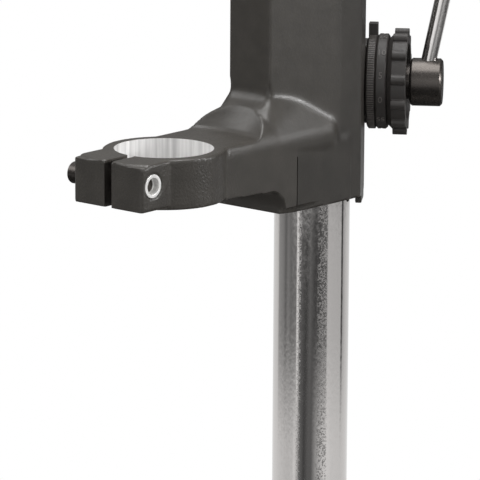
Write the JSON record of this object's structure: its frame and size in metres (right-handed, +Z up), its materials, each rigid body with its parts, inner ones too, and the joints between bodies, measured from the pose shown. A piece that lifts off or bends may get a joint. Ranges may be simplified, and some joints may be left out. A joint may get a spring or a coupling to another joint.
{
  "type": "drill stand",
  "caption": "Bench drill stand: base with split socket, round column, swivelling head with clamp collar, rack and pinion feed, lever with depth scale and star nut.",
  "frame": {"origin": "on the bench, under the column axis, on the underside of the base", "axes": "+Z up along the column, -Y towards the clamp collar, +X to the side of the feed lever"},
  "size_m": [0.1613, 0.2613, 0.508],
  "materials": {
    "black_paint": "satin black paint on sand-cast iron",
    "ground_steel": "ground and hard chromed steel",
    "machined_steel": "turned and milled steel",
    "bright_steel": "bright drawn steel",
    "spring_steel": "blued spring strip",
    "black_oxide": "black oxide on steel",
    "bronze": "turned bearing bronze",
    "black_plastic": "moulded glass-filled nylon, satin",
    "rubber": "moulded rubber"
  },
  "bodies": {
    "base": {"base_plate": "black_paint", "column": "ground_steel"},
    "base_screw": {"base_clamp_screw": "black_oxide"},
    "clamp_sleeve": {"clamp_bush": "bronze"},
    "clamp_carrier": {"clamp_ring": "black_paint", "rack_bar": "machined_steel", "rack_screws": "black_oxide"},
    "clamp_lever": {"clamp_lever_stud": "machined_steel", "clamp_lever_rod": "machined_steel", "clamp_lever_knob": "black_plastic"},
    "head": {"head_casting": "black_paint", "collar_screw_insert": "machined_steel", "upper_guide_bush": "bronze", "lower_guide_bush": "bronze", "rubber_buffer": "rubber", "gear_case": "black_paint", "gear_case_screws": "black_oxide", "rack_pad": "bronze", "rack_adjusting_screw": "black_oxide", "rack_lock_nut": "machined_steel", "right_shaft_bush": "bronze", "left_shaft_bush": "bronze", "spring_cup": "black_paint", "spring_cup_screws": "black_oxide", "return_spring": "spring_steel"},
    "collar_screw": {"collar_clamp_screw": "black_oxide"},
    "index": {"index_ring": "black_plastic"},
    "feed_lever": {"drive_pinion": "machined_steel", "pinion_shaft": "machined_steel", "pinion_pin": "machined_steel", "lever_hub": "black_oxide", "hub_end_screw": "black_oxide", "lever_rod": "bright_steel", "lever_knob": "black_plastic"},
    "drum": {"scale_drum": "black_plastic"},
    "star": {"star_nut": "black_plastic"}
  },
  "joints": [
    {"name": "height_slide", "type": "slide", "parent": "base", "child": "clamp_sleeve", "axis": [0, 0, 1], "range_m": [-0.06, 0.07]},
    {"name": "head_swivel", "type": "hinge", "parent": "clamp_sleeve", "child": "clamp_carrier", "pos_m": [0, 0, 0.4], "axis": [0, 0, 1], "continuous": true},
    {"name": "feed_slide", "type": "slide", "parent": "clamp_carrier", "child": "head", "axis": [0, 0, 1], "range_m": [-0.06, 0], "stiffness_N_per_m": 250, "springref_m": 0.2},
    {"name": "feed_lever_turn", "type": "hinge", "parent": "head", "child": "feed_lever", "pos_m": [-0.01622, 0.02404, 0.2855], "axis": [0.829, 0.5592, 0], "range_deg": [0, 366.99]},
    {"name": "index_ring_turn", "type": "hinge", "parent": "head", "child": "index", "pos_m": [-0.01622, 0.02404, 0.2855], "axis": [0.829, 0.5592, 0], "range_deg": [-150, 150]},
    {"name": "drum_turn", "type": "hinge", "parent": "feed_lever", "child": "drum", "pos_m": [-0.01622, 0.02404, 0.2855], "axis": [0.829, 0.5592, 0], "continuous": true},
    {"name": "star_nut_turn", "type": "hinge", "parent": "feed_lever", "child": "star", "pos_m": [-0.01622, 0.02404, 0.2855], "axis": [0.829, 0.5592, 0], "range_deg": [-180, 0]},
    {"name": "clamp_lever_turn", "type": "hinge", "parent": "clamp_carrier", "child": "clamp_lever", "pos_m": [-0.02101, -0.03106, 0.4053], "axis": [0.5592, -0.829, 0], "range_deg": [-60, 60]},
    {"name": "collar_screw_turn", "type": "hinge", "parent": "head", "child": "collar_screw", "pos_m": [0, -0.1302, 0.2655], "axis": [1, 0, 0], "range_deg": [-360, 0]},
    {"name": "base_screw_turn", "type": "hinge", "parent": "base", "child": "base_screw", "pos_m": [0, 0.03575, 0.065], "axis": [1, 0, 0], "range_deg": [-360, 0]}
  ],
  "couplings": [
    {"joint": "feed_lever_turn", "follows": "feed_slide", "rad_per_m": -106.67}
  ]
}
